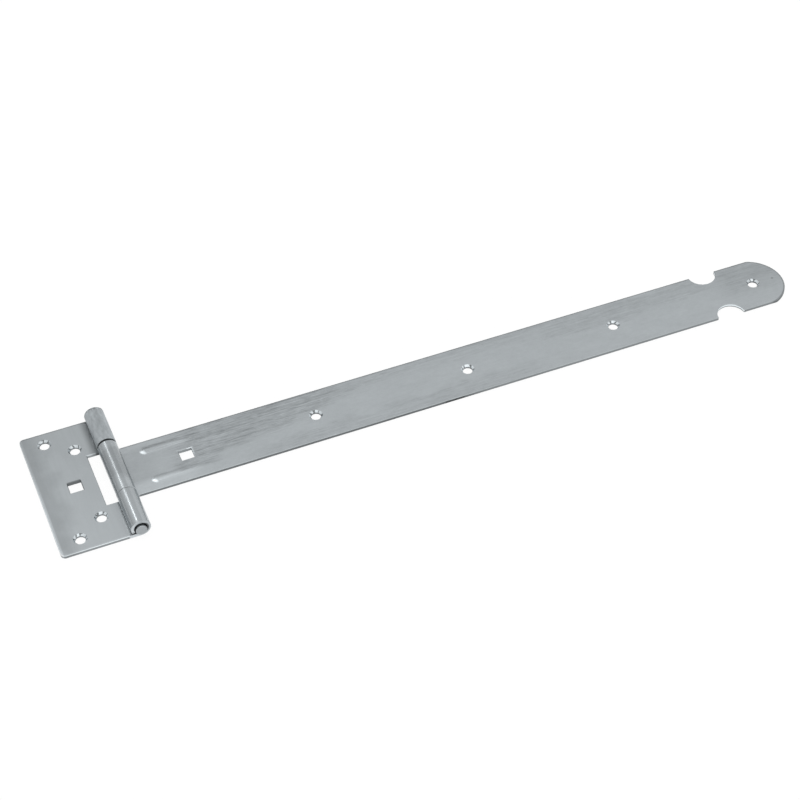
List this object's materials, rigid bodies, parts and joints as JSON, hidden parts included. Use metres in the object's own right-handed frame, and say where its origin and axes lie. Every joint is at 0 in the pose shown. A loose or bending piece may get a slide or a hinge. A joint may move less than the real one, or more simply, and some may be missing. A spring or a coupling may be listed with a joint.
{
  "type": "tee hinge",
  "caption": "Flat steel tee hinge: tall plate leaf with rolled knuckles, loose pin, and a long strap leaf with screw holes, a notched neck and a round head.",
  "frame": {"origin": "on the back of the strap, under the pin's axis and on the strap's centre line", "axes": "+X along the strap to its tip, +Y along the pin, +Z out of the backs of the leaves towards the knuckles"},
  "size_m": [0.5456, 0.1117, 0.0133],
  "materials": {
    "leaf_steel": "satin zinc plating over rolled steel",
    "pin_steel": "satin zinc plating over drawn bar"
  },
  "bodies": {
    "plate": {"plate_leaf": "leaf_steel", "hinge_pin": "pin_steel"},
    "strap": {"strap_leaf": "leaf_steel"}
  },
  "joints": [
    {"name": "strap_swing", "type": "hinge", "parent": "plate", "child": "strap", "pos_m": [0, 0, 0.00665], "axis": [0, -1, 0], "range_deg": [-128, 188]}
  ]
}
